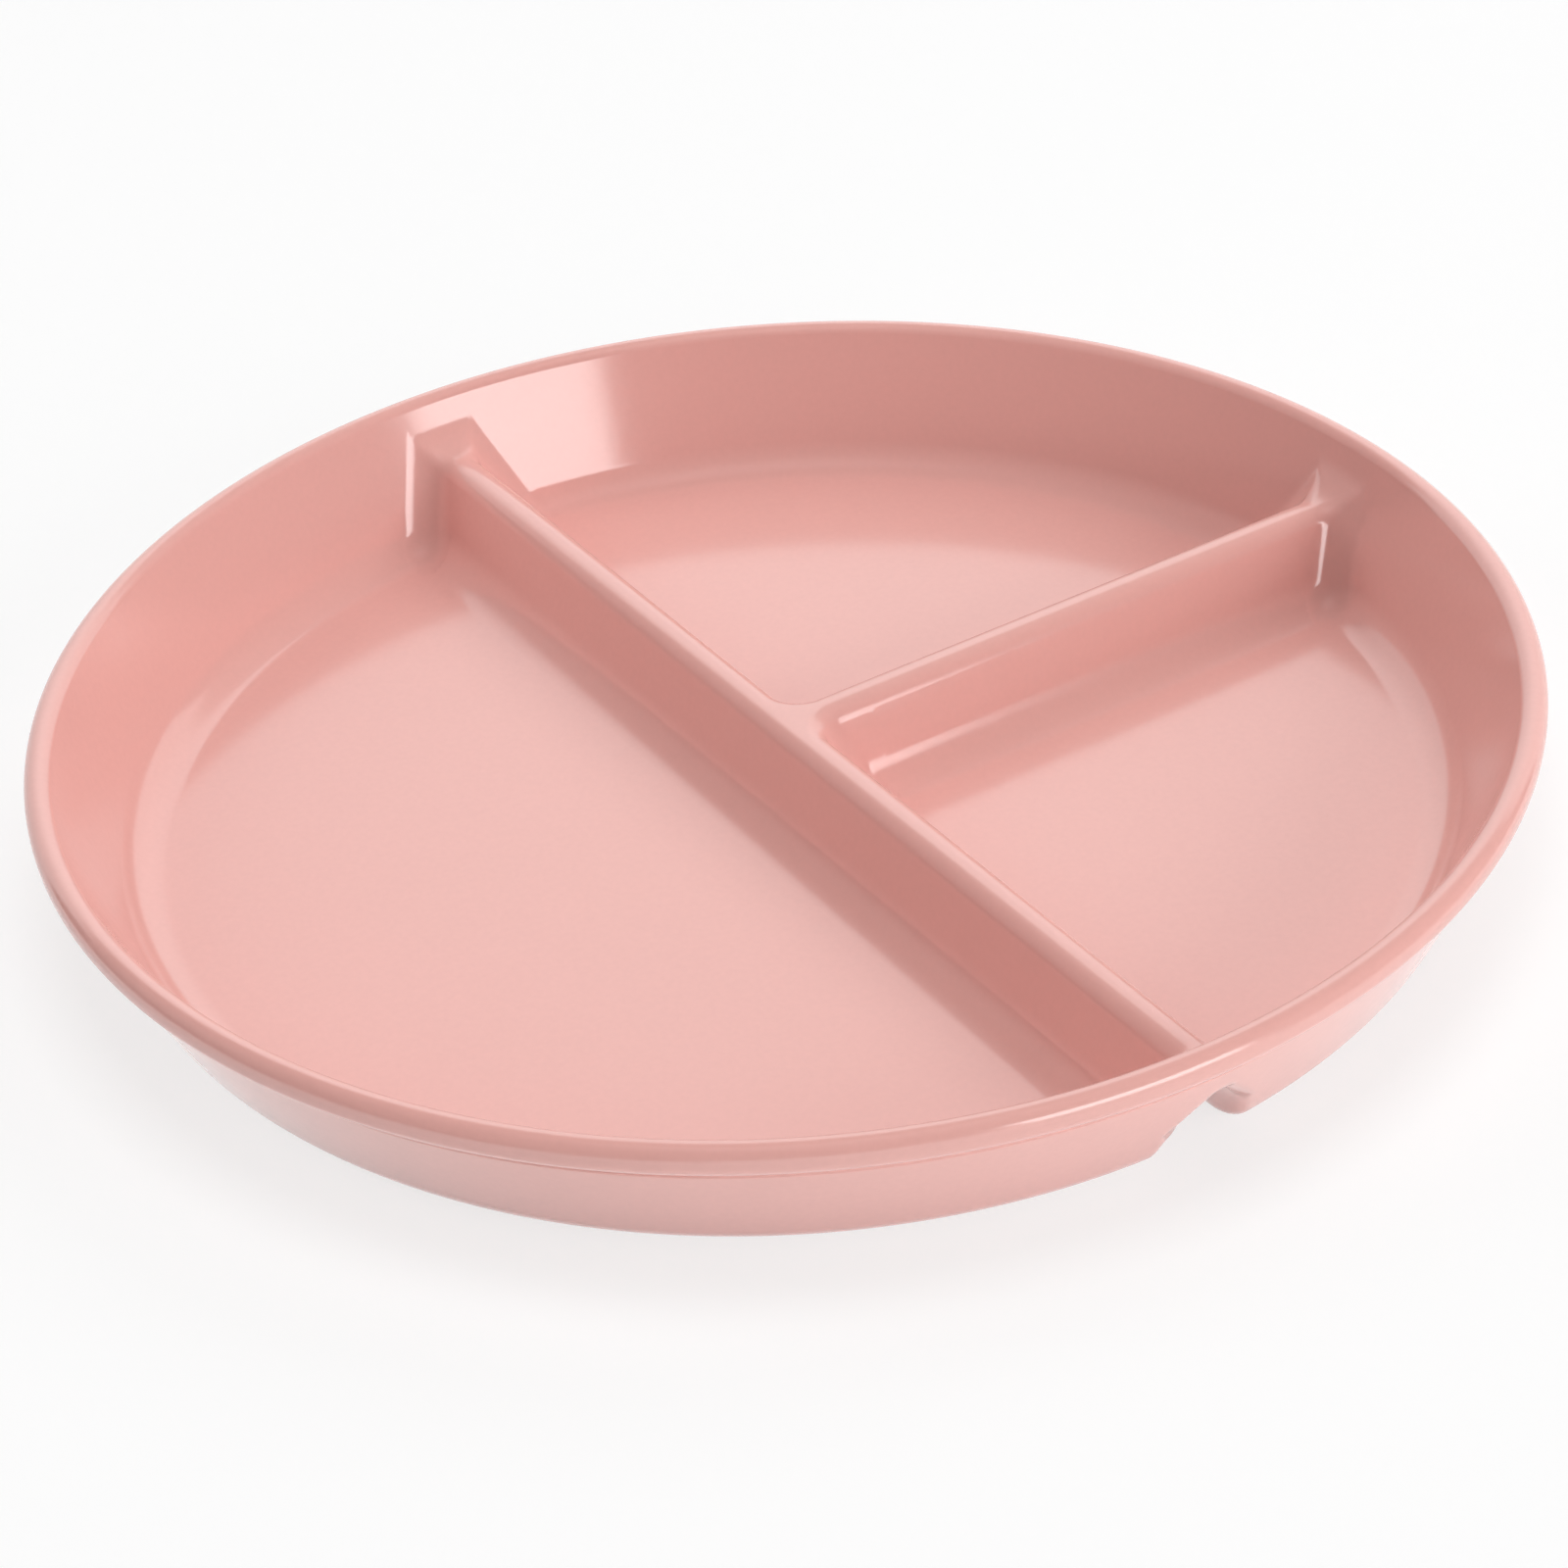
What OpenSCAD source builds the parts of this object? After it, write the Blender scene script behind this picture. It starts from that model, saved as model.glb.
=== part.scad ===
// Round dinner plate with three compartments, moulded in one piece.
// The long divider runs along X through the middle and the short one runs from it along +Y.
// Z is 0 on the table, and X and Y are 0 at the centre of the plate.

/* [Plate] */
// Diameter across the rim bead
plate_d = 254; // [230:1:290]
// Height from the table to the top of the rim
plate_h = 27.6; // [26.5:0.1:34]
// Lean of the outer wall away from upright, in degrees
wall_lean = 25; // [15:1:30]
// Thickness of the outer wall, square to its face
wall_t = 3.7; // [2.8:0.1:4.4]
// Thickness of the three floors
floor_t = 3; // [2:0.1:4]
// Radius of the fillet round each floor
fillet_r = 8; // [4:0.5:8]
// Radius of the lower outside edge
edge_r = 6; // [4:0.5:8]

/* [Rim] */
// Radius of the rounded rim bead
bead_r = 2.4; // [2:0.1:2.8]
// Height of the bead from its top to its underside
bead_h = 5.3; // [5:0.1:5.8]
// Radius of the hollow neck between the bead and the wall
neck_r = 1.2; // [1:0.1:1.5]
// How far the neck cuts in behind the wall's outside face
neck_in = 0.6; // [0.4:0.1:0.8]
// Radius of the ledge that the wall keeps under the neck
ledge_r = 0.6; // [0.4:0.1:0.8]

/* [Dividers] */
// Height of the dividers above the floors
crest_h = 15.2; // [12:0.1:15.4]
// Width of the flat on top of a divider
crest_w = 0.4; // [0.2:0.1:2]
// Radius along the top edges of a divider
crest_edge_r = 3.8; // [3:0.1:4.4]
// Lean of a divider's sides away from upright, in degrees
side_lean = 22; // [18:1:26]
// Thickness of a divider's sides over the hollow below it
side_t = 3; // [2.4:0.1:3.4]
// Radius of the hollow's roof
roof_r = 1.5; // [1:0.1:2]
// Radius of the floors' underside edges along the hollow
lower_edge_r = 3; // [2:0.1:4]
// Radius in plan that widens the hollow where it runs out through the wall
mouth_r = 10; // [7:0.5:12]
// How far inside the wall's foot that widening starts
mouth_in = 6; // [4:0.5:8]
// How far the widening stays below the hollow's roof
mouth_drop = 0.3; // [0.2:0.05:0.6]

/* [Corners] */
// Radius in plan where a divider meets the wall, at floor height
corner_low_r = 7; // [6:0.5:10]
// The same radius at the top of the divider
corner_top_r = 6.5; // [6:0.5:10]
// Radius in plan where the short divider meets the long one
junction_r = 5.5; // [5.4:0.1:9]
// Radius where the top of a divider curves up into the wall
crest_end_r = 8.5; // [6:0.5:9]

/* [Hidden] */
// Thickness of the thin slices that the compartments are stretched between
slice_t = 0.01;
// How far a cut runs past what it cuts
over = 2;
// Flat border kept round each floor piece
border = 1;
// Segments in a large arc per quarter turn, and in a small arc
wide_steps = 30;
small_steps = 6;
plate_pink = [0.93, 0.73, 0.70];
// Turn that keeps the outside's facet edges off the compartments' own
half_facet = 45 / wide_steps;

plate_r = plate_d / 2;
bead_x = plate_r - bead_r;
bead_z = plate_h - bead_r;
bead_low_z = plate_h - bead_h + bead_r;
// The wall's inside face runs up into the top of the bead without a step
face_r = bead_x - bead_r / cos(wall_lean);
foot_r = face_r - (bead_z - floor_t) * tan(wall_lean);
crest_z = floor_t + crest_h;
half_top = crest_w / 2 + crest_edge_r * tan(45 - side_lean / 2);
wall_across = wall_t / cos(wall_lean);
side_across = side_t / cos(side_lean);
end_rise = crest_end_r * (1 - sin(wall_lean));
// The wall's inside face ends at top_x, top_z, where the bead's curve starts
top_x = bead_x - bead_r * cos(wall_lean);
top_z = bead_z + bead_r * sin(wall_lean);
// The neck's centre lies neck_off off the wall and bead_r + neck_r from the bead's lower centre
neck_off = neck_r - neck_in;
bead_off = (bead_x - face_r - wall_across) * cos(wall_lean) + (bead_z - bead_low_z) * sin(wall_lean);
neck_turn = -acos((neck_off - bead_off) / (bead_r + neck_r)) - wall_lean;
neck_x = bead_x + (bead_r + neck_r) * cos(neck_turn);
neck_z = bead_low_z + (bead_r + neck_r) * sin(neck_turn);
// The ledge's centre lies ledge_r inside the wall and neck_r + ledge_r from the neck's centre
ledge_turn = acos((neck_off + ledge_r) / (neck_r + ledge_r));
ledge_x = neck_x - (neck_r + ledge_r) * cos(wall_lean - ledge_turn);
ledge_z = neck_z + (neck_r + ledge_r) * sin(wall_lean - ledge_turn);
// The wall's outside face ends at crease_x, crease_z, where the ledge's curve starts
crease_x = ledge_x + ledge_r * cos(wall_lean);
crease_z = ledge_z - ledge_r * sin(wall_lean);
// The seam under the rim piece runs from the crease to the top of the wall, and the cut runs on past it
seam_z = top_z + over;
seam_x = top_x - over * (crease_x - top_x) / (top_z - crease_z);

function arc(x, y, r, from, to, steps) =
    [for (i = [0 : steps]) let (a = from + (to - from) * i / steps) [x + r * cos(a), y + r * sin(a)]];

// How far a fillet reaches in from a leaning face, at a height above the floor
function reach(r, lean, height) =
    height >= r * (1 - sin(lean)) ? 0
    : r * tan(45 - lean / 2) + height * tan(lean) - sqrt(r * r - (r - height) * (r - height));

// Radius of the inside of the outer wall at a height
function wall_face(z) = foot_r + (z - floor_t) * tan(wall_lean) - reach(fillet_r, wall_lean, z - floor_t);

// Corner radius in plan at a height, drawn in by the floor's fillet
function corner(z) = corner_low_r + (corner_top_r - corner_low_r) * (z - floor_t) / crest_h
    - reach(fillet_r, wall_lean, z - floor_t);

// Radius of the outside of the outer wall at a height, above its lower edge
function wall_back(z) = foot_r + (z - floor_t) * tan(wall_lean) + wall_across;

// Corner radius in plan where the dividers meet, drawn in by the fillet until none is left
function junction(z) = max(0, junction_r - reach(fillet_r, side_lean, z - floor_t));

// Half width of a divider at a height, below its top
function half_side(z) = half_top + (crest_z - z) * tan(side_lean);
function half_width(z) =
    z > crest_z - crest_edge_r * (1 - sin(side_lean))
    ? let (up = z - crest_z + crest_edge_r) crest_w / 2 + sqrt(max(0, crest_edge_r * crest_edge_r - up * up))
    : half_side(z) + reach(fillet_r, side_lean, z - floor_t);

// Above the crest the same outlines pass each other, and leave only the crest's rounded ends at the wall
function end_depth(z) = reach(crest_end_r, wall_lean, z - crest_z);
function half_past(z) = let (c = corner(z), d = end_depth(z)) sqrt(max(0, c * c - (c - d) * (c - d))) - c;

// Plan of the large compartment, on the -Y side of the long divider
function large_plan(r, half, c) =
    let (x = sqrt((r - c) * (r - c) - (half + c) * (half + c)), turn = atan((half + c) / x))
    concat(arc(x, -half - c, c, 90, -turn, small_steps),
        arc(0, 0, r, -turn, turn - 180, 2 * wide_steps),
        arc(-x, -half - c, c, turn - 180, -270, small_steps));

// Plan of a small compartment, on the +X +Y side: its outer edge, then the whole with its junction corner
function small_edge(r, half, c) =
    let (x = sqrt((r - c) * (r - c) - (half + c) * (half + c)), turn = atan((half + c) / x))
    concat(arc(half + c, x, c, 180, 90 - turn, small_steps),
        arc(0, 0, r, 90 - turn, turn, wide_steps),
        arc(x, half + c, c, turn, -90, small_steps));
function small_plan(r, half, c, j) =
    concat(arc(half + j, half + j, j, 270, 180, small_steps), small_edge(r, half, c));

// Heights of the slices, as shares of the fillet, of the crest rounding and of the crest end
fillet_shares = [0, 0.02, 0.08, 0.18, 0.32, 0.5, 0.73, 1];
edge_shares = [0, 0.4, 0.75, 0.93, 1];
end_shares = [0, 0.03, 0.1, 0.22, 0.4, 0.65, 1];
mouth_shares = [0, 0.4, 0.65, 0.82, 0.92];
fillet_rise = fillet_r * (1 - min(sin(wall_lean), sin(side_lean)));
edge_rise = crest_edge_r * (1 - sin(side_lean));
low_levels = concat([for (s = fillet_shares) floor_t + fillet_rise * s],
    [for (s = edge_shares) crest_z - edge_rise * (1 - s)]);
end_levels = concat([for (s = end_shares) crest_z + end_rise * s], [seam_z]);

// The hollow under a divider: half its width at the table, and the height of its roof's centre
hollow_foot = half_side(0) - side_across;
roof_z = hollow_foot / tan(side_lean) - roof_r / sin(side_lean);

module slice(z) {
    translate([0, 0, z]) linear_extrude(height = slice_t) children();
}

// A solid stretched through one outline at each level
module stretched(levels, plans) {
    for (i = [0 : len(levels) - 2])
        hull() {
            slice(levels[i]) polygon(plans[i]);
            slice(levels[i + 1]) polygon(plans[i + 1]);
        }
}

module large_hollow() {
    stretched(low_levels, [for (z = low_levels) large_plan(wall_face(z), half_width(z), corner(z))]);
    stretched(end_levels, [for (z = end_levels) large_plan(wall_face(z), half_past(z), corner(z))]);
}

module small_hollow() {
    stretched(low_levels,
        [for (z = low_levels) small_plan(wall_face(z), half_width(z), corner(z), junction(z))]);
    stretched(end_levels,
        [for (z = end_levels) small_plan(wall_face(z), half_past(z), corner(z), junction_r)]);
}

// Section of the hollow under a divider: its width lies along X and its height along Y
module hollow_section() {
    low_x = hollow_foot + lower_edge_r * tan(45 - side_lean / 2);
    polygon(concat([[low_x, -over]],
        arc(low_x, lower_edge_r, lower_edge_r, -90, side_lean - 180, small_steps),
        arc(0, roof_z, roof_r, side_lean, 180 - side_lean, small_steps),
        arc(-low_x, lower_edge_r, lower_edge_r, -side_lean, -90, small_steps),
        [[-low_x, -over]]));
}

// The same hollow where it runs out, wider at its foot and just inside it at its roof
module mouth_section(wider) {
    foot = hollow_foot + wider;
    r = roof_r - mouth_drop;
    lean = atan(foot / roof_z) - asin(r / sqrt(foot * foot + roof_z * roof_z));
    low_x = foot + over * tan(lean);
    polygon(concat([[low_x, -over]], arc(0, roof_z, r, side_lean, 180 - side_lean, small_steps),
        [[-low_x, -over]]));
}

// One slice across the mouth, at a share of its radius along X
module mouth_slice(share, length) {
    rotate([90, 0, 90])
        translate([0, 0, wall_back(0) - mouth_in + mouth_r * share])
            linear_extrude(height = length)
                hull() mouth_section(mouth_r * (1 - sqrt(1 - share * share)));
}

module mouth() {
    last = len(mouth_shares) - 1;
    for (i = [0 : last - 1])
        hull() {
            mouth_slice(mouth_shares[i], slice_t);
            mouth_slice(mouth_shares[i + 1], i + 1 == last ? plate_r - wall_back(0) : slice_t);
        }
}

// The hollow under one divider arm, from the middle of the plate out through the wall on the +X side
module arm_hollow() {
    rotate([90, 0, 90]) linear_extrude(height = plate_r) hollow_section();
    mouth();
}

// Everything below the rim piece, whose seam slants from the wall's inside face down to the crease outside
module lower_plate() {
    edge_x = wall_back(0) - edge_r * tan(45 - wall_lean / 2);
    difference() {
        rotate([0, 0, half_facet]) rotate_extrude($fn = 4 * wide_steps)
            polygon(concat([[0, 0]], arc(edge_x, edge_r, edge_r, -90, -wall_lean, small_steps),
                [[crease_x, crease_z], [seam_x, seam_z], [0, seam_z]]));
        large_hollow();
        small_hollow();
        mirror([1, 0, 0]) small_hollow();
        for (turn = [0, 90, 180]) rotate([0, 0, turn]) arm_hollow();
    }
}

floor_r = wall_face(floor_t) - border;
strip = half_width(floor_t) + border;

module large_floor_plan() {
    polygon(large_plan(floor_r, strip, corner(floor_t)));
}

module small_floor_plan() {
    polygon(concat([[strip, strip]], small_edge(floor_r, strip, corner(floor_t))));
}

module rim_bead() {
    color(plate_pink)
        rotate_extrude($fn = 4 * wide_steps)
            polygon(concat(arc(bead_x, bead_z, bead_r, 180 - wall_lean, 0, 2 * small_steps),
                arc(bead_x, bead_low_z, bead_r, 0, neck_turn, small_steps),
                arc(neck_x, neck_z, neck_r, 180 + neck_turn, 180 - wall_lean + ledge_turn, small_steps),
                arc(ledge_x, ledge_z, ledge_r, ledge_turn - wall_lean, -wall_lean, small_steps / 2)));
}

module large_wall() {
    color(plate_pink)
        intersection() {
            lower_plate();
            linear_extrude(height = seam_z)
                difference() {
                    translate([-plate_r, -plate_r]) square([plate_d, plate_r - strip]);
                    large_floor_plan();
                }
        }
}

// The wall round the small compartment on the +X side
module small_wall() {
    intersection() {
        lower_plate();
        linear_extrude(height = seam_z)
            difference() {
                translate([strip, strip]) square([plate_r, plate_r]);
                small_floor_plan();
            }
    }
}

module right_wall() {
    color(plate_pink) small_wall();
}

module left_wall() {
    color(plate_pink) mirror([1, 0, 0]) small_wall();
}

module large_floor() {
    color(plate_pink) linear_extrude(height = floor_t) large_floor_plan();
}

module right_floor() {
    color(plate_pink) linear_extrude(height = floor_t) small_floor_plan();
}

module left_floor() {
    color(plate_pink) mirror([1, 0, 0]) linear_extrude(height = floor_t) small_floor_plan();
}

module long_divider() {
    color(plate_pink)
        intersection() {
            lower_plate();
            translate([-plate_r, -strip]) linear_extrude(height = seam_z) square([plate_d, 2 * strip]);
        }
}

module short_divider() {
    color(plate_pink)
        intersection() {
            lower_plate();
            translate([-strip, strip]) linear_extrude(height = seam_z) square([2 * strip, plate_r]);
        }
}

rim_bead();
large_wall();
left_wall();
right_wall();
large_floor();
left_floor();
right_floor();
long_divider();
short_divider();
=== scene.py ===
import math
import bpy
import numpy as np
from mathutils import Matrix, Vector
from mathutils.geometry import delaunay_2d_cdt


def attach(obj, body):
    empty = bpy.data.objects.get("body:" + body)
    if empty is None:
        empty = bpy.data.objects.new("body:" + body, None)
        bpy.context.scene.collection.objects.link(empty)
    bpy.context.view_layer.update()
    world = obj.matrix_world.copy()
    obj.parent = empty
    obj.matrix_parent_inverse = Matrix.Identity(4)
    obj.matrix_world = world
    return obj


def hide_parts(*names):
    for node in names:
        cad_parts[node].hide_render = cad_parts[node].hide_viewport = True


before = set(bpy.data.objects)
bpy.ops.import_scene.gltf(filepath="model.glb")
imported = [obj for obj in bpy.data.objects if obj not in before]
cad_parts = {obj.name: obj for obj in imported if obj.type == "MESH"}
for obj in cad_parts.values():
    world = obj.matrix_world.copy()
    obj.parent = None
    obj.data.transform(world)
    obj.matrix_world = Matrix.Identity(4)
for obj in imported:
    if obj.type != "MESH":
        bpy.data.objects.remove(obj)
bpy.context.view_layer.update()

# Floors: the flat bottoms of the three compartments, 3 mm thick. The whole plate is one press-moulded
# piece of salmon pink melamine, with the faint pull of the mould in its gloss and specks in its resin.
# Each floor ends a millimetre inside the fillet that turns up into its wall and divider.

# The plate in millimetres, with its bead and the neck and ledge below that.
plate_r, plate_h = 127.0, 27.6
bead_r, bead_h = 2.4, 5.3
neck_r, neck_in, ledge_r = 1.2, 0.6, 0.6
# The skin of the wall, the floors and the dividers' sides, its leans and its fillets.
wall_lean, side_lean = math.radians(25), math.radians(22)
wall_t, floor_t, side_t = 3.7, 3.0, 3.0
fillet_r, edge_r, lower_edge_r = 8.0, 6.0, 3.0
# The crests of the dividers, the corners of the compartments, and the hollow with its flared mouth.
crest_h, crest_w, crest_edge_r, crest_end_r = 15.2, 0.4, 3.8, 8.5
corner_low_r, corner_top_r, junction_r = 7.0, 6.5, 5.5
roof_r, mouth_r, mouth_in, mouth_share = 1.5, 10.0, 6.0, 0.92
# How far a floor stops short of its fillet, and how far apart the points lie, turns in degrees.
border = 1.0
fine_step, wall_step, rib_step, end_step, flat_step = 0.42, 0.8, 1.6, 0.55, 6.5
turn_step, seam_step, seam_gap = 0.5, 0.8, 0.2
# A millimetre in the scene's metres, and a number that only keeps a divisor from being zero.
mm, tiny = 0.001, 1e-20

sin_w, cos_w, tan_w = math.sin(wall_lean), math.cos(wall_lean), math.tan(wall_lean)
sin_s, cos_s, tan_s = math.sin(side_lean), math.cos(side_lean), math.tan(side_lean)
bead_x, bead_z, bead_low_z = plate_r - bead_r, plate_h - bead_r, plate_h - bead_h + bead_r
face_r = bead_x - bead_r / cos_w
foot_r = face_r - (bead_z - floor_t) * tan_w
crest_z = floor_t + crest_h
half_top = crest_w / 2 + crest_edge_r * math.tan(math.pi / 4 - side_lean / 2)
wall_across = wall_t / cos_w
# The bead, the neck and the ledge are circles that run into each other and into the wall.
top_x = bead_x - bead_r * cos_w
bead_off = (bead_x - face_r - wall_across) * cos_w + (bead_z - bead_low_z) * sin_w
neck_off = neck_r - neck_in
neck_turn = -math.acos((neck_off - bead_off) / (bead_r + neck_r)) - wall_lean
neck_x = bead_x + (bead_r + neck_r) * math.cos(neck_turn)
neck_z = bead_low_z + (bead_r + neck_r) * math.sin(neck_turn)
ledge_turn = math.acos((neck_off + ledge_r) / (neck_r + ledge_r))
ledge_x = neck_x - (neck_r + ledge_r) * math.cos(wall_lean - ledge_turn)
ledge_z = neck_z + (neck_r + ledge_r) * math.sin(wall_lean - ledge_turn)
crease_x = ledge_x + ledge_r * cos_w
hollow_foot = half_top + crest_z * tan_s - side_t / cos_s
roof_z = hollow_foot / tan_s - roof_r / sin_s


def reach(r, lean):
    """How far a floor fillet reaches in from a leaning face, at floor level."""
    return r * math.tan(math.pi / 4 - lean / 2)


floor_edge_r = foot_r - reach(fillet_r, wall_lean) - border
strip = half_top + crest_h * tan_s + reach(fillet_r, side_lean) + border
floor_corner = corner_low_r - reach(fillet_r, wall_lean)


def plane(value, nx, ny, nz):
    """A distance with its unit direction, for every point at once."""
    zero = np.zeros_like(value)
    return np.stack([value, zero + nx, zero + ny, zero + nz])


def rolled(a, b, r):
    """The edge that two distances share, rounded as a ball of radius r would roll along it."""
    c = (a[1:] * b[1:]).sum(0)
    da, db = r - a[0], r - b[0]
    spread, least_spread = np.maximum(1 - c * c, tiny), 1e-5
    apart = spread > least_spread
    qa, qb = (da - c * db) / spread, (db - c * da) / spread
    size = np.sqrt(np.maximum(qa * da + qb * db, tiny))
    ball = np.vstack([(r - size)[None], (qa * a[1:] + qb * b[1:]) / size])
    return np.where((qa > 0) & (qb > 0) & apart, ball, np.where(a[0] <= b[0], a, b))


def room_above(x, y, z):
    """Distance into the open air over the plate, whose zero is the upper surface."""
    r = np.maximum(np.hypot(x, y), tiny)
    wall = plane((foot_r + (z - floor_t) * tan_w - r) * cos_w,
                 -x / r * cos_w, -y / r * cos_w, sin_w)
    floor = plane(z - floor_t, 0, 0, 1)
    corner = corner_low_r + (corner_top_r - corner_low_r) * np.clip((z - floor_t) / crest_h, 0, 1)

    def side(nx, ny):
        """Distance from the leaning side of an arm that faces a way in plan."""
        return plane((nx * x + ny * y - half_top - (crest_z - z) * tan_s) * cos_s,
                     nx * cos_s, ny * cos_s, sin_s)

    room = rolled(wall, plane(z - crest_z, 0, 0, 1), crest_end_r)
    for sides in (side(0, -1), rolled(side(1, 0), side(0, 1), junction_r),
                  rolled(side(-1, 0), side(0, 1), junction_r)):
        cell = rolled(rolled(wall, sides, corner), floor, fillet_r)
        room = -rolled(-room, -cell, crest_edge_r)
    return room


def hollow(across, along, z, ax, ay, lx, ly):
    """Distance into the hollow under a divider arm, which widens where it runs out through the wall.

    ax, ay is the way across the arm in plan and lx, ly the way along it."""
    start = foot_r - floor_t * tan_w + wall_across - mouth_in
    share = np.clip((along - start) / mouth_r, 0, mouth_share)
    wider = mouth_r * (1 - np.sqrt(1 - share * share))
    slope = np.where((share > 0) & (share < mouth_share), share / np.sqrt(1 - share * share), 0)
    foot = hollow_foot + wider
    lean = np.arctan(foot / roof_z) - np.arcsin(roof_r / np.hypot(foot, roof_z))
    halves = []
    for sign in (1, -1):
        tip = -np.tan(lean)
        grow = slope * (1 - z / roof_z)
        size = np.sqrt(1 + tip * tip + grow * grow)
        gx, gy = (-sign * ax + grow * lx) / size, (-sign * ay + grow * ly) / size
        halves.append(plane((foot + z * tip - sign * across) / size, gx, gy, tip / size))
    return rolled(halves[0], halves[1], roof_r)


def body_below(x, y, z):
    """Distance into the moulding from below, whose zero is the underside and the outer wall."""
    r = np.maximum(np.hypot(x, y), tiny)
    back = foot_r + (z - floor_t) * tan_w + wall_across - r
    wall = plane(back * cos_w, -x / r * cos_w, -y / r * cos_w, sin_w)
    body = rolled(plane(z, 0, 0, 1), wall, edge_r)
    body = rolled(body, -hollow(y, np.abs(x), z, 0, 1, np.sign(x), 0), lower_edge_r)
    short = hollow(x, y, z, 1, 0, 0, 1)
    short = np.where(short[0] < y, short, plane(y, 0, 1, 0))
    return rolled(body, -short, lower_edge_r)


def surface(field, x, y, low, high, halvings=30):
    """Height at which a field turns positive, by halving."""
    low, high = np.full_like(x, low), np.full_like(x, high)
    for halving in range(halvings):
        middle = (low + high) / 2
        inside = field(x, y, middle)[0] > 0
        high = np.where(inside, middle, high)
        low = np.where(inside, low, middle)
    return (low + high) / 2


def facing(field, x, y, z, step=0.002):
    """Unit direction in which a field grows, from its change over a small step."""
    g = np.stack([field(x + step, y, z)[0] - field(x - step, y, z)[0],
                  field(x, y + step, z)[0] - field(x, y - step, z)[0],
                  field(x, y, z + step)[0] - field(x, y, z - step)[0]], 1)
    return g / np.linalg.norm(g, axis=1, keepdims=True)


def turned(x, y, r, start, end, steps):
    """Points along an arc."""
    return [(x + r * math.cos(a), y + r * math.sin(a)) for a in np.linspace(start, end, steps + 1)]


def floor_outline(which):
    """Outline of a floor: the large one on the -Y side, or a small one on the +X or -X side."""
    r, c = floor_edge_r, floor_corner
    x = math.sqrt((r - c) ** 2 - (strip + c) ** 2)
    a = math.atan2(strip + c, x)
    corner_steps, half_steps, quarter_steps = 8, 300, 120
    if which == "large":
        return (turned(x, -strip - c, c, math.pi / 2, -a, corner_steps)
                + turned(0, 0, r, -a, a - math.pi, half_steps)[1:]
                + turned(-x, -strip - c, c, a - math.pi, -1.5 * math.pi, corner_steps)[1:])
    s = 1 if which == "right" else -1
    points = (turned(strip + c, x, c, math.pi, math.pi / 2 - a, corner_steps)
              + turned(0, 0, r, math.pi / 2 - a, a, quarter_steps)[1:]
              + turned(x, strip + c, c, a, -math.pi / 2, corner_steps)[1:])
    return [(s * px, py) for px, py in points + [(strip, strip)]]


outlines = {name: np.array(floor_outline(name)) for name in ("large", "left", "right")}


def inside_outline(outline, x, y):
    """Which points lie inside a closed outline."""
    hit = np.zeros(x.shape, bool)
    for (x1, y1), (x2, y2) in zip(outline, np.roll(outline, -1, 0)):
        if y1 != y2:
            hit ^= ((y1 > y) != (y2 > y)) & (x < x1 + (x2 - x1) * (y - y1) / (y2 - y1))
    return hit


def lattice(a, b):
    """Every pair of a value from each row, as points."""
    return np.stack(np.meshgrid(a, b), -1).reshape(-1, 2)


def mirrored_row(row):
    """A row that starts at zero, with its mirror image before it."""
    return np.concatenate([-row[:0:-1], row])


def off_the_ribs(points, gap):
    """Which points lie clear of the strips that the dividers take up."""
    x, y = points[:, 0], points[:, 1]
    return (np.abs(y) > strip + gap) & ((y < 0) | (np.abs(x) > strip + gap))


def rib_points():
    """Points on the dividers, in rows that lie close on the crest, at the junction and at the ends."""
    flat_top, side_turn = 27, 90 - math.degrees(side_lean)
    flat_tilt, round_tilt = 4.5, 1.6
    tilts = np.concatenate([np.arange(0, flat_top, flat_tilt),
                            np.arange(flat_top, side_turn, round_tilt)])
    crest = crest_w / 2 + crest_edge_r * np.sin(np.radians(tilts))
    side_rows, fillet_from = [4.3, 4.9], 5.5
    fillet = np.arange(fillet_from, strip - seam_gap, fine_step)
    across = mirrored_row(np.concatenate([crest, side_rows, fillet]))
    junction_end, plain_from, plain_end, saddle_from = 21, 22, 97, 97.4
    along = mirrored_row(np.concatenate([np.arange(0, junction_end, end_step),
                                         np.arange(plain_from, plain_end, rib_step),
                                         np.arange(saddle_from, top_x, end_step)]))
    return np.concatenate([lattice(along, across), lattice(across, along[along > strip + seam_gap])])


def wall_points():
    """Points on the fillet and the wall in rings, with twice as many where a divider runs into them."""
    fillet_gap, fillet_end, wall_from, rim_gap = 0.35, 116.5, 117.1, 0.3
    rings = np.concatenate([np.arange(floor_edge_r + fillet_gap, fillet_end, fine_step),
                            np.arange(wall_from, top_x - rim_gap, wall_step)])
    turns = np.radians(np.arange(0, 360, turn_step))
    rib_ends, rib_reach = np.radians([0, 90, 180, 360]), math.radians(13)
    near = np.min(np.abs(turns[:, None] - rib_ends[None]), 1) < rib_reach
    polar = lattice(rings, np.concatenate([turns, turns[near] + math.radians(turn_step / 2)]))
    points = np.stack([polar[:, 0] * np.cos(polar[:, 1]), polar[:, 0] * np.sin(polar[:, 1])], 1)
    return points[off_the_ribs(points, seam_gap)]


def floor_points():
    """Points on the flat floors, in a wide lattice that keeps clear of the fillets."""
    reach_out, edge_gap, rib_gap = 104, 3, 2
    row = np.arange(-reach_out, reach_out + 1, flat_step)
    points = lattice(row, row)
    return points[(np.hypot(*points.T) < floor_edge_r - edge_gap) & off_the_ribs(points, rib_gap)]


def plan_points():
    """Where the surfaces get their points, all clear of the seam under the rim."""
    points = np.concatenate([rib_points(), wall_points(), floor_points()])
    rim_seam_gap = 0.25
    return points[np.hypot(points[:, 0], points[:, 1]) < top_x - rim_seam_gap]


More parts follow.
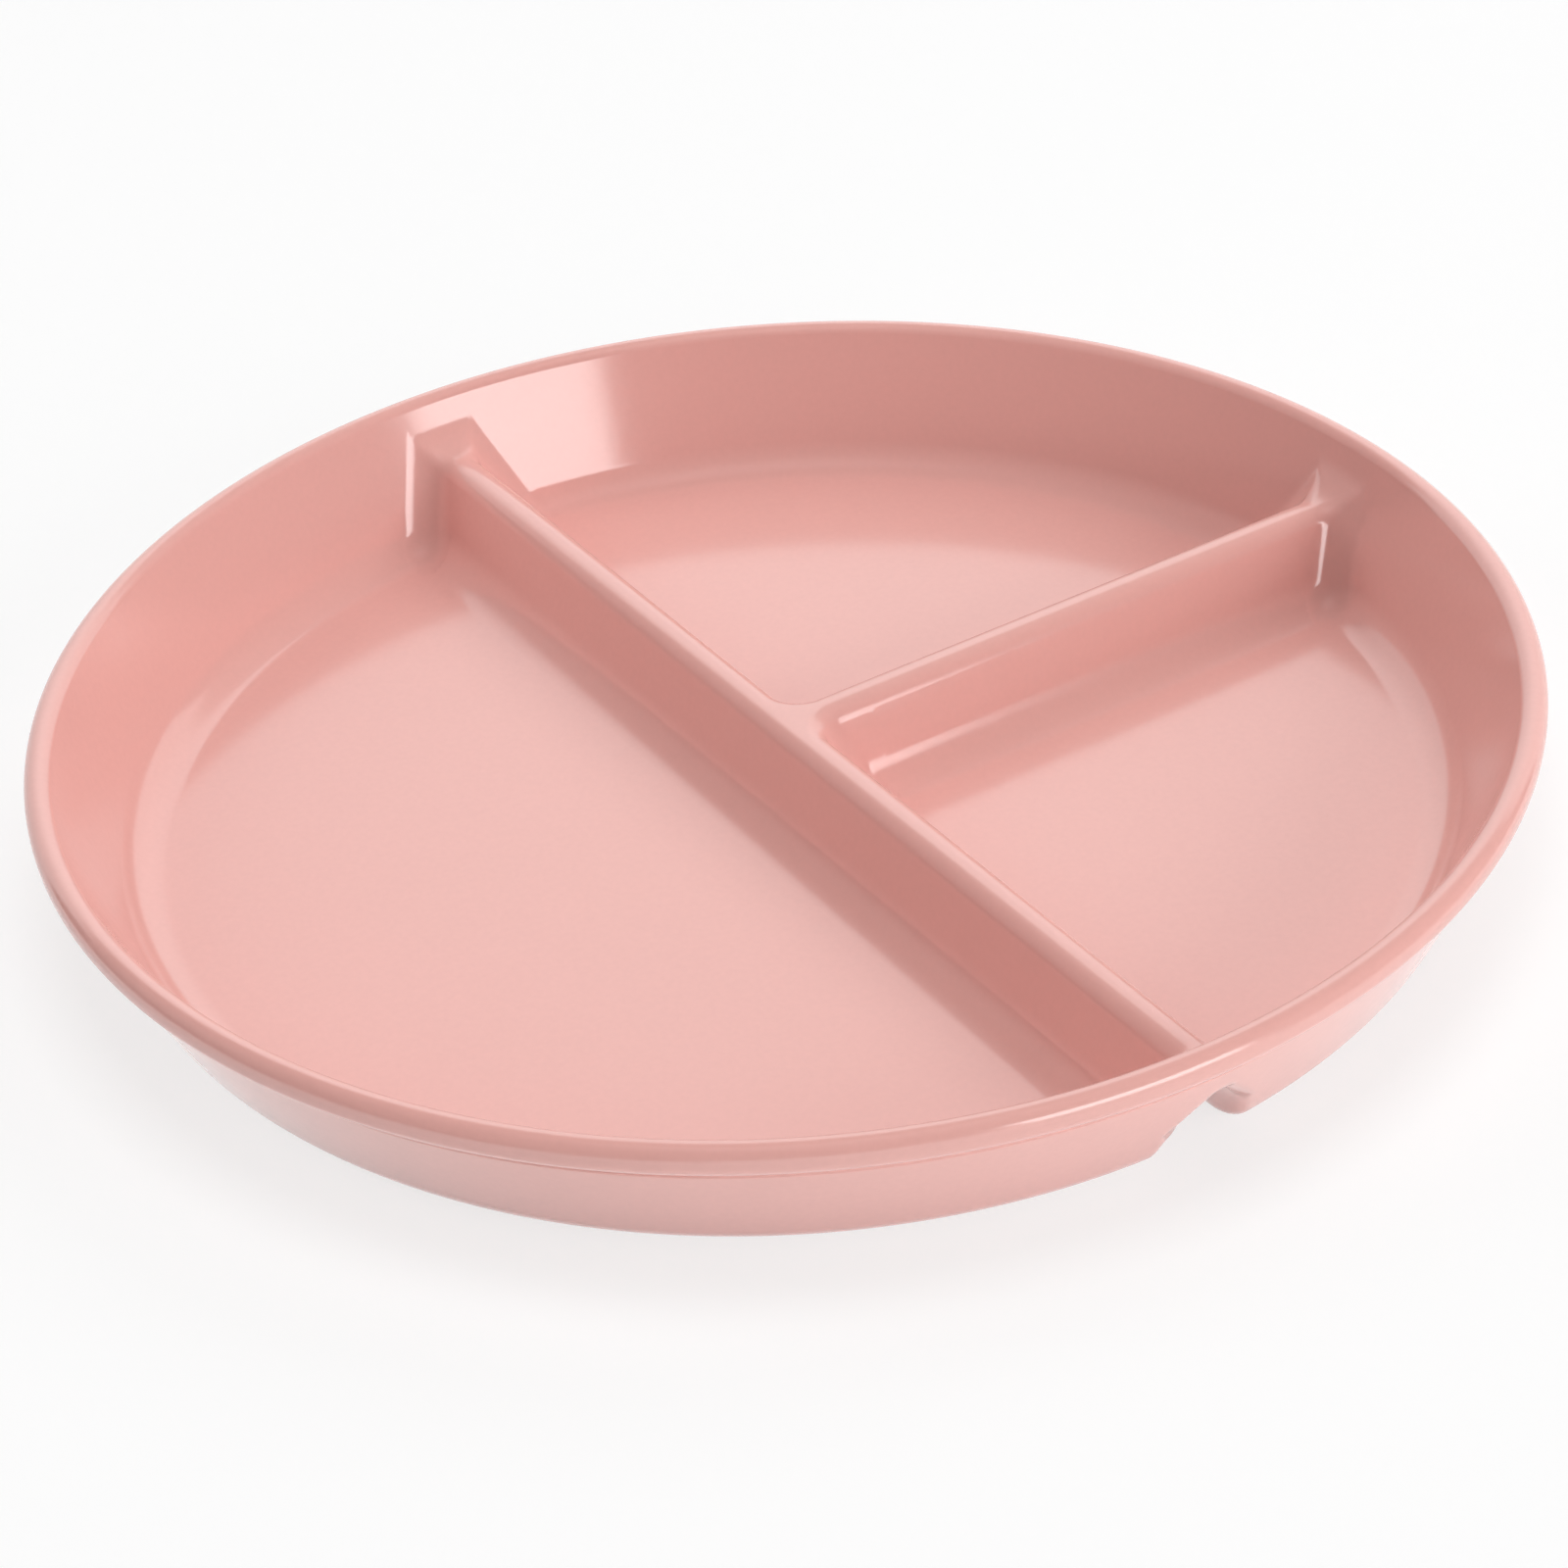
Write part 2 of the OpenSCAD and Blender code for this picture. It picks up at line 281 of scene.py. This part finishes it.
def seams():
    """Lines in plan where the named regions of the moulding meet."""
    out = math.sqrt(top_x ** 2 - strip ** 2)
    low, high = math.atan2(strip, out), math.pi / 2 - math.atan2(strip, out)
    rib_turns = [low, high, math.pi - high, math.pi - low, -low, low - math.pi]
    even = np.round(np.radians(np.arange(-180, 180, turn_step)), 9)
    too_near = 0.002
    turns = [t for t in even if min(abs(t - s) for s in rib_turns) > too_near]
    turns = sorted(set(turns) | set(rib_turns))
    lines = [[(top_x * math.cos(t), top_x * math.sin(t)) for t in turns]]
    lines[0].append(lines[0][0])

    def straight(x1, y1, x2, y2):
        """Points along a straight seam."""
        n = max(2, int(math.hypot(x2 - x1, y2 - y1) / seam_step))
        return [(x1 + (x2 - x1) * i / n, y1 + (y2 - y1) * i / n) for i in range(n + 1)]

    lines.append(straight(-out, -strip, out, -strip))
    for s in (1, -1):
        lines.append(straight(s * strip, strip, s * out, strip))
        lines.append(straight(s * strip, strip, s * strip, out))
    lines.append(straight(-strip, strip, strip, strip))
    for outline in outlines.values():
        lines.append([tuple(p) for p in outline])
    return lines


def plan_mesh():
    """Triangles of the plan, with every seam kept as edges."""
    corners, edges = [], []
    for line in seams():
        first = len(corners)
        corners += line
        edges += [(first + i, first + i + 1) for i in range(len(line) - 1)]
    corners += plan_points().tolist()
    weld_gap, least_area = 1e-4, 1e-9
    made = delaunay_2d_cdt([Vector(c) for c in corners], edges, [], 0, weld_gap, False)
    where = np.array([v[:] for v in made[0]])
    faces = np.array([f for f in made[2] if len(f) == 3])
    a, b, c = (where[faces[:, i]] for i in range(3))
    area = (b[:, 0] - a[:, 0]) * (c[:, 1] - a[:, 1]) - (b[:, 1] - a[:, 1]) * (c[:, 0] - a[:, 0])
    faces[area < 0] = faces[area < 0][:, ::-1]
    return where, faces[np.abs(area) > least_area]


plan, plan_faces = plan_mesh()
middle = plan[plan_faces].mean(1)
region = np.full(len(plan_faces), "large_wall", dtype="<U16")
region[(middle[:, 1] > strip) & (middle[:, 0] > 0)] = "right_wall"
region[(middle[:, 1] > strip) & (middle[:, 0] < 0)] = "left_wall"
region[(middle[:, 1] > strip) & (np.abs(middle[:, 0]) < strip)] = "short_divider"
region[np.abs(middle[:, 1]) < strip] = "long_divider"
for which in outlines:
    region[inside_outline(outlines[which], middle[:, 0], middle[:, 1])] = which + "_floor"

plan_x, plan_y = plan[:, 0].copy(), plan[:, 1].copy()
from_middle = np.hypot(plan_x, plan_y)
upper_z = surface(room_above, plan_x, plan_y, low=1.0, high=32.0)
upper_facing = facing(room_above, plan_x, plan_y, upper_z)
# The underside reaches further out than the upper face, to the crease under the rim.
spread_from = 100.0
share_out = np.clip((from_middle - spread_from) / (top_x - spread_from), 0, 1)
spread = 1 + share_out * (crease_x - top_x) / np.maximum(from_middle, tiny)
under_x, under_y = plan_x * spread, plan_y * spread
under_z = surface(body_below, under_x, under_y, low=-1.0, high=30.0)
under_facing = -facing(body_below, under_x, under_y, under_z)


def noise(tree, where, size, detail):
    """A noise value at a place, with its size from a socket."""
    made = tree.nodes.new("ShaderNodeTexNoise")
    made.inputs["Detail"].default_value = detail
    tree.links.new(where, made.inputs["Vector"])
    tree.links.new(size, made.inputs["Scale"])
    return made.outputs["Fac"]


def worked_out(tree, operation, *terms):
    """The result of a sum whose terms are sockets or plain numbers."""
    made = tree.nodes.new("ShaderNodeMath")
    made.operation = operation
    for term, socket in zip(terms, made.inputs):
        if isinstance(term, float):
            socket.default_value = term
        else:
            tree.links.new(term, socket)
    return made.outputs[0]


def resin_group():
    """Colour of the resin where it varies: broad cloudiness and sparse pale and dark specks."""
    tree = bpy.data.node_groups.new("resin_colour", "ShaderNodeTree")
    face = tree.interface
    face.new_socket("Position", in_out="INPUT", socket_type="NodeSocketVector")
    for name, value in (("Cloud size", 22.0), ("Cloud depth", 0.03),
                        ("Speck size", 900.0), ("Speck depth", 0.05)):
        face.new_socket(name, in_out="INPUT", socket_type="NodeSocketFloat").default_value = value
    face.new_socket("Resin", in_out="INPUT", socket_type="NodeSocketColor")
    face.new_socket("Colour", in_out="OUTPUT", socket_type="NodeSocketColor")
    take = tree.nodes.new("NodeGroupInput").outputs
    give = tree.nodes.new("NodeGroupOutput").inputs
    swings = []
    for kind, detail in (("Cloud", 3.0), ("Speck", 2.0)):
        value = noise(tree, take["Position"], take[kind + " size"], detail)
        centred = worked_out(tree, "SUBTRACT", value, 0.5)
        swings.append(worked_out(tree, "MULTIPLY_ADD", centred, take[kind + " depth"], 1.0))
    tint = tree.nodes.new("ShaderNodeVectorMath")
    tint.operation = "SCALE"
    tree.links.new(take["Resin"], tint.inputs[0])
    tree.links.new(worked_out(tree, "MULTIPLY", *swings), tint.inputs["Scale"])
    tree.links.new(tint.outputs[0], give["Colour"])
    return tree


def skin_group():
    """Height and roughness of the moulded skin, from long pulls and a short ripple."""
    tree = bpy.data.node_groups.new("moulded_skin", "ShaderNodeTree")
    face = tree.interface
    face.new_socket("Position", in_out="INPUT", socket_type="NodeSocketVector")
    for name, value in (("Pull size", 90.0), ("Ripple size", 420.0), ("Ripple share", 0.35),
                        ("Roughness", 0.3), ("Roughness swing", 0.08)):
        face.new_socket(name, in_out="INPUT", socket_type="NodeSocketFloat").default_value = value
    face.new_socket("Height", in_out="OUTPUT", socket_type="NodeSocketFloat")
    face.new_socket("Roughness", in_out="OUTPUT", socket_type="NodeSocketFloat")
    take = tree.nodes.new("NodeGroupInput").outputs
    give = tree.nodes.new("NodeGroupOutput").inputs
    pull = noise(tree, take["Position"], take["Pull size"], detail=2.0)
    ripple = noise(tree, take["Position"], take["Ripple size"], detail=3.0)
    height = worked_out(tree, "MULTIPLY_ADD", ripple, take["Ripple share"], pull)
    tree.links.new(height, give["Height"])
    centred = worked_out(tree, "SUBTRACT", ripple, 0.5)
    rough = worked_out(tree, "MULTIPLY_ADD", centred, take["Roughness swing"], take["Roughness"])
    tree.links.new(rough, give["Roughness"])
    return tree


resin_colour = resin_group()
moulded_skin = skin_group()


def melamine(name, resin, roughness, pull_depth):
    """Gloss melamine with its own resin colour, roughness and depth of the mould's pull."""
    made = bpy.data.materials.new(name)
    made.use_nodes = True
    nodes, links = made.node_tree.nodes, made.node_tree.links
    shader = nodes["Principled BSDF"]
    shader.inputs["IOR"].default_value = 1.8
    where = nodes.new("ShaderNodeTexCoord")
    colour = nodes.new("ShaderNodeGroup")
    colour.node_tree = resin_colour
    colour.inputs["Resin"].default_value = (*resin, 1.0)
    skin = nodes.new("ShaderNodeGroup")
    skin.node_tree = moulded_skin
    skin.inputs["Roughness"].default_value = roughness
    for group in (colour, skin):
        links.new(where.outputs["Object"], group.inputs["Position"])
    bump = nodes.new("ShaderNodeBump")
    bump.inputs["Distance"].default_value = pull_depth
    bump.inputs["Strength"].default_value = 1.0
    links.new(skin.outputs["Height"], bump.inputs["Height"])
    links.new(colour.outputs["Colour"], shader.inputs["Base Color"])
    links.new(skin.outputs["Roughness"], shader.inputs["Roughness"])
    links.new(bump.outputs["Normal"], shader.inputs["Normal"])
    return made


pink_melamine = melamine("salmon_pink_melamine", resin=(0.86, 0.45, 0.405), roughness=0.14,
                         pull_depth=0.02 * mm)


def moulded_piece(name, what, material):
    """One named region of the moulding as a closed solid: upper face, underside and seam walls."""
    faces = plan_faces[region == what]
    used, faces = np.unique(faces, return_inverse=True)
    faces = faces.reshape(-1, 3)
    n = len(used)
    upper = np.stack([plan_x[used], plan_y[used], upper_z[used]], 1)
    under = np.stack([under_x[used], under_y[used], under_z[used]], 1)
    edges = np.concatenate([faces[:, [0, 1]], faces[:, [1, 2]], faces[:, [2, 0]]])
    code = edges[:, 0] * n + edges[:, 1]
    border_edges = edges[~np.isin(code, edges[:, 1] * n + edges[:, 0])]
    a, b = border_edges[:, 0], border_edges[:, 1]
    seam = np.concatenate([np.stack([a, a + n, b + n], 1), np.stack([a, b + n, b], 1)])
    every = np.concatenate([faces, faces[:, ::-1] + n, seam])
    mesh = bpy.data.meshes.new(name)
    points = np.concatenate([upper, under]) * mm
    mesh.from_pydata(points.tolist(), [], every.tolist())
    mesh.update()
    p = points[seam]
    flat = np.cross(p[:, 1] - p[:, 0], p[:, 2] - p[:, 0])
    flat /= np.maximum(np.linalg.norm(flat, axis=1, keepdims=True), tiny)
    normals = np.concatenate([upper_facing[used][faces].reshape(-1, 3),
                              under_facing[used][faces[:, ::-1]].reshape(-1, 3), np.repeat(flat, 3, 0)])
    mesh.shade_smooth()
    mesh.normals_split_custom_set(normals.tolist())
    mesh.materials.append(material)
    piece = bpy.data.objects.new(name, mesh)
    bpy.context.collection.objects.link(piece)
    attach(piece, "root")
    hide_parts(what)
    return piece


for what in ("large_floor", "left_floor", "right_floor"):
    moulded_piece(what + "_moulding", what, pink_melamine)

# Outer wall: it leans out by 25 degrees, turns into each floor with an 8 mm fillet, and its foot is
# rounded outside. It is the same melamine skin, and each compartment has its own stretch of it.

for what in ("large_wall", "left_wall", "right_wall"):
    moulded_piece(what + "_moulding", what, pink_melamine)

# Dividers: hollow ribs of the same skin, pressed up from the floors. Their tops are rounded ridges that
# curl up into the wall at each end, and the hollow below runs out through the wall as an arched notch.

for what in ("long_divider", "short_divider"):
    moulded_piece(what + "_moulding", what, pink_melamine)

# Rim: a rolled melamine bead that closes the wall at the top, with a hollow neck and a small ledge
# under it outside. Its section follows the circle of the wall, and it is moulded in one with it.


def rim_arcs():
    """Arcs of the rim's section, from the top of the wall to the ledge.

    Each has its centre, radius, first and last angle, steps, and 1 for a bulge or -1 for a hollow."""
    top_steps, outer_steps, neck_steps, ledge_steps = 26, 18, 12, 6
    neck_end = math.pi - wall_lean + ledge_turn
    return [(bead_x, bead_z, bead_r, math.pi - wall_lean, 0, top_steps, 1),
            (bead_x, bead_low_z, bead_r, 0, neck_turn, outer_steps, 1),
            (neck_x, neck_z, neck_r, math.pi + neck_turn, neck_end, neck_steps, -1),
            (ledge_x, ledge_z, ledge_r, ledge_turn - wall_lean, -wall_lean, ledge_steps, 1)]


def rim_section():
    """Section of the bead, neck and ledge as points, with the way that the surface faces at each."""
    points, ways = [], []
    for x, z, r, start, end, steps, side in rim_arcs():
        for angle in np.linspace(start, end, steps + 1)[1 if side == -1 or r == ledge_r else 0:]:
            points.append((x + r * math.cos(angle), z + r * math.sin(angle)))
            ways.append((side * math.cos(angle), side * math.sin(angle)))
    return points, ways


def rim_tree():
    """Nodes that carry a section round a circle and give it its finish."""
    tree = bpy.data.node_groups.new("rim_round_the_plate", "GeometryNodeTree")
    face = tree.interface
    face.new_socket("Section", in_out="INPUT", socket_type="NodeSocketGeometry")
    face.new_socket("Rim radius", in_out="INPUT", socket_type="NodeSocketFloat")
    face.new_socket("Steps round", in_out="INPUT", socket_type="NodeSocketInt")
    face.new_socket("Finish", in_out="INPUT", socket_type="NodeSocketMaterial")
    face.new_socket("Rim", in_out="OUTPUT", socket_type="NodeSocketGeometry")
    nodes, links = tree.nodes, tree.links
    take = nodes.new("NodeGroupInput")
    give = nodes.new("NodeGroupOutput")
    outline = nodes.new("GeometryNodeMeshToCurve")
    circle = nodes.new("GeometryNodeCurvePrimitiveCircle")
    circle.mode = "RADIUS"
    sweep = nodes.new("GeometryNodeCurveToMesh")
    whole = nodes.new("GeometryNodeRealizeInstances")
    finish = nodes.new("GeometryNodeSetMaterial")
    links.new(take.outputs["Section"], outline.inputs["Mesh"])
    links.new(take.outputs["Steps round"], circle.inputs["Resolution"])
    links.new(take.outputs["Rim radius"], circle.inputs["Radius"])
    links.new(circle.outputs["Curve"], sweep.inputs["Curve"])
    links.new(outline.outputs["Curve"], sweep.inputs["Profile Curve"])
    links.new(sweep.outputs["Mesh"], whole.inputs["Geometry"])
    links.new(whole.outputs["Geometry"], finish.inputs["Geometry"])
    links.new(take.outputs["Finish"], finish.inputs["Material"])
    links.new(finish.outputs["Geometry"], give.inputs["Rim"])
    return tree


def smooth_rim(mesh, points, ways):
    """Sets the rim's true directions, so that it runs into the wall without an edge."""
    corner = np.empty(len(mesh.loops), np.int32)
    mesh.loops.foreach_get("vertex_index", corner)
    where = np.empty(3 * len(mesh.vertices))
    mesh.vertices.foreach_get("co", where)
    where = where.reshape(-1, 3) / mm
    r = np.hypot(where[:, 0], where[:, 1])
    section = np.array(points)
    apart = np.hypot(r[:, None] - section[:, 0], where[:, 2:] - section[:, 1])
    way = np.array(ways)[apart.argmin(1)]
    smooth = np.stack([where[:, 0] / r * way[:, 0], where[:, 1] / r * way[:, 0], way[:, 1]], 1)
    smooth = smooth[corner]
    flat = np.empty(3 * len(mesh.polygons))
    mesh.polygons.foreach_get("normal", flat)
    sides = np.empty(len(mesh.polygons), np.int32)
    mesh.polygons.foreach_get("loop_total", sides)
    flat = np.repeat(flat.reshape(-1, 3), sides, 0)
    # The face that closes the section lies inside the wall and keeps its own direction.
    least_match = 0.5
    hidden = (flat * smooth).sum(1) < least_match
    mesh.shade_smooth()
    mesh.normals_split_custom_set(np.where(hidden[:, None], flat, smooth).tolist())


def rim_piece():
    """The rim as one closed ring, swept by nodes and kept as a plain mesh."""
    points, ways = rim_section()
    line = bpy.data.meshes.new("rim_section")
    line.from_pydata([((x - bead_x) * mm, -z * mm, 0) for x, z in points],
                     [(i, (i + 1) % len(points)) for i in range(len(points))], [])
    draft = bpy.data.objects.new("rim_draft", line)
    bpy.context.collection.objects.link(draft)
    tree = rim_tree()
    rolled_rim = draft.modifiers.new("rim", "NODES")
    rolled_rim.node_group = tree
    sockets = {item.name: item.identifier for item in tree.interface.items_tree
               if item.in_out == "INPUT"}
    rolled_rim[sockets["Rim radius"]] = bead_x * mm
    rolled_rim[sockets["Steps round"]] = round(360 / turn_step)
    rolled_rim[sockets["Finish"]] = pink_melamine
    ready = draft.evaluated_get(bpy.context.evaluated_depsgraph_get())
    mesh = bpy.data.meshes.new_from_object(ready)
    mesh.name = "rim_bead_moulding"
    bpy.data.objects.remove(draft)
    top = max(mesh.polygons, key=lambda face: face.center.z)
    if top.normal.z < 0:
        mesh.flip_normals()
    smooth_rim(mesh, points, ways)
    piece = bpy.data.objects.new("rim_bead_moulding", mesh)
    bpy.context.collection.objects.link(piece)
    return piece


rim = rim_piece()
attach(rim, "root")
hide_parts("rim_bead")

# Studio: a white table and a white screen behind it, with soft lamps round the plate. Only the window,
# the low strip and the lamp in front of the screen show in the gloss.

table_half, table_gap = 3, 0.0003
table = bpy.data.meshes.new("table")
table.from_pydata([(sx * table_half, sy * table_half, -table_gap)
                   for sx, sy in ((-1, -1), (1, -1), (1, 1), (-1, 1))], [], [(0, 1, 2, 3)])
table_top = bpy.data.objects.new("table", table)
bpy.context.collection.objects.link(table_top)
paper = bpy.data.materials.new("white_table")
paper.use_nodes = True
nodes, links = paper.node_tree.nodes, paper.node_tree.links
nodes.clear()
out = nodes.new("ShaderNodeOutputMaterial")
matt = nodes.new("ShaderNodeBsdfDiffuse")
matt.inputs["Color"].default_value = (0.97, 0.97, 0.97, 1)
white = nodes.new("ShaderNodeEmission")
white.inputs["Color"].default_value = (1, 1, 1, 1)
# The camera sees three parts of white to one of lit paper, which keeps the plate's shadow.
# The gloss sees plain white.
path = nodes.new("ShaderNodeLightPath")
white_share = 0.75
seen = worked_out(paper.node_tree, "MULTIPLY_ADD", path.outputs["Is Camera Ray"], white_share,
                  path.outputs["Is Glossy Ray"])
paper_mix = nodes.new("ShaderNodeMixShader")
links.new(seen, paper_mix.inputs[0])
links.new(matt.outputs[0], paper_mix.inputs[1])
links.new(white.outputs[0], paper_mix.inputs[2])
links.new(paper_mix.outputs[0], out.inputs["Surface"])
table.materials.append(paper)

screen_turn = math.radians(150)
screen_far, screen_half, screen_high = 1.7, 2.6, 1.7
out_way = Vector((math.cos(screen_turn), math.sin(screen_turn), 0))
side_way = Vector((-out_way.y, out_way.x, 0))
screen = bpy.data.meshes.new("back_screen")
screen_corners = ((-1, 0), (1, 0), (1, screen_high), (-1, screen_high))
screen.from_pydata([screen_far * out_way + s * screen_half * side_way + Vector((0, 0, z))
                    for s, z in screen_corners], [], [(0, 1, 2, 3)])
screen.materials.append(paper)
back_screen = bpy.data.objects.new("back_screen", screen)
bpy.context.collection.objects.link(back_screen)

world = bpy.data.worlds.new("studio")
bpy.context.scene.world = world
world.use_nodes = True
nodes, links = world.node_tree.nodes, world.node_tree.links
sky = nodes["Background"]
sky.inputs["Color"].default_value = (1, 1, 1, 1)
# The room is white to the camera and gives no light.
path = nodes.new("ShaderNodeLightPath")
links.new(path.outputs["Is Camera Ray"], sky.inputs["Strength"])


def softbox(name, turn_deg, rise_deg, distance, width, height, power, mirrored=False):
    """A soft lamp that faces the plate from a compass turn about Z and a rise above the table.

    Only a mirrored lamp shows in the gloss. The others stand for light from all over a side."""
    turn, rise = math.radians(turn_deg), math.radians(rise_deg)
    place = distance * Vector((math.cos(rise) * math.cos(turn), math.cos(rise) * math.sin(turn),
                               math.sin(rise)))
    lamp = bpy.data.lights.new(name, "AREA")
    lamp.shape = "RECTANGLE"
    lamp.size, lamp.size_y = width, height
    lamp.energy = power
    holder = bpy.data.objects.new(name, lamp)
    bpy.context.collection.objects.link(holder)
    holder.visible_glossy = mirrored
    aim = (-place).to_track_quat("-Z", "Y").to_matrix().to_4x4()
    holder.matrix_world = Matrix.Translation(place) @ aim
    return holder


softbox("overhead_lamp", 0, 88, 1.6, 0.8, 0.8, 12.0)
softbox("key_lamp", 110, 42, 1.6, 0.7, 0.7, 5.5)
softbox("left_lamp", -135, 30, 1.6, 0.8, 0.8, 6.0)
softbox("right_lamp", 34, 30, 2.0, 0.8, 0.8, 2.6)
softbox("low_lamp", -15, 4, 1.0, 0.8, 0.3, 1.1)
softbox("window_lamp", 12.5, 20.5, 2.0, 1.11, 0.74, 11.2, mirrored=True)
softbox("window_side_lamp", 48, 21, 2.0, 1.4, 1.0, 5.6)
softbox("low_strip_lamp", -5, 5.5, 2.0, 3.36, 0.2, 3.4, mirrored=True)
back_lamp = softbox("back_lamp", 146, 33, 1.2, 1.6, 1.6, 0.4, mirrored=True)
back_lamp.data.spread = math.radians(66)

# Camera: it looks down on the plate from the side of the long divider's near end, a little rolled. Its
# place, in metres, and its line of sight come from a fit of the plate's outlines to the photograph.

lens = bpy.data.cameras.new("camera")
lens.lens = 95.331
lens.sensor_width = 36.0
lens.clip_end = 20
camera = bpy.data.objects.new("camera", lens)
bpy.context.collection.objects.link(camera)
place = Vector((0.50831, -0.29582, 0.40204))
ahead = Vector((-0.71695, 0.41589, -0.55949)).normalized()
level_side = ahead.cross(Vector((0, 0, 1))).normalized()
level_up = level_side.cross(ahead)
roll = math.radians(-4.53)
side = math.cos(roll) * level_side + math.sin(roll) * level_up
above = math.cos(roll) * level_up - math.sin(roll) * level_side
camera.matrix_world = Matrix.Translation(place) @ Matrix((side, above, -ahead)).transposed().to_4x4()
bpy.context.scene.camera = camera
bpy.context.scene.view_settings.view_transform = "Standard"
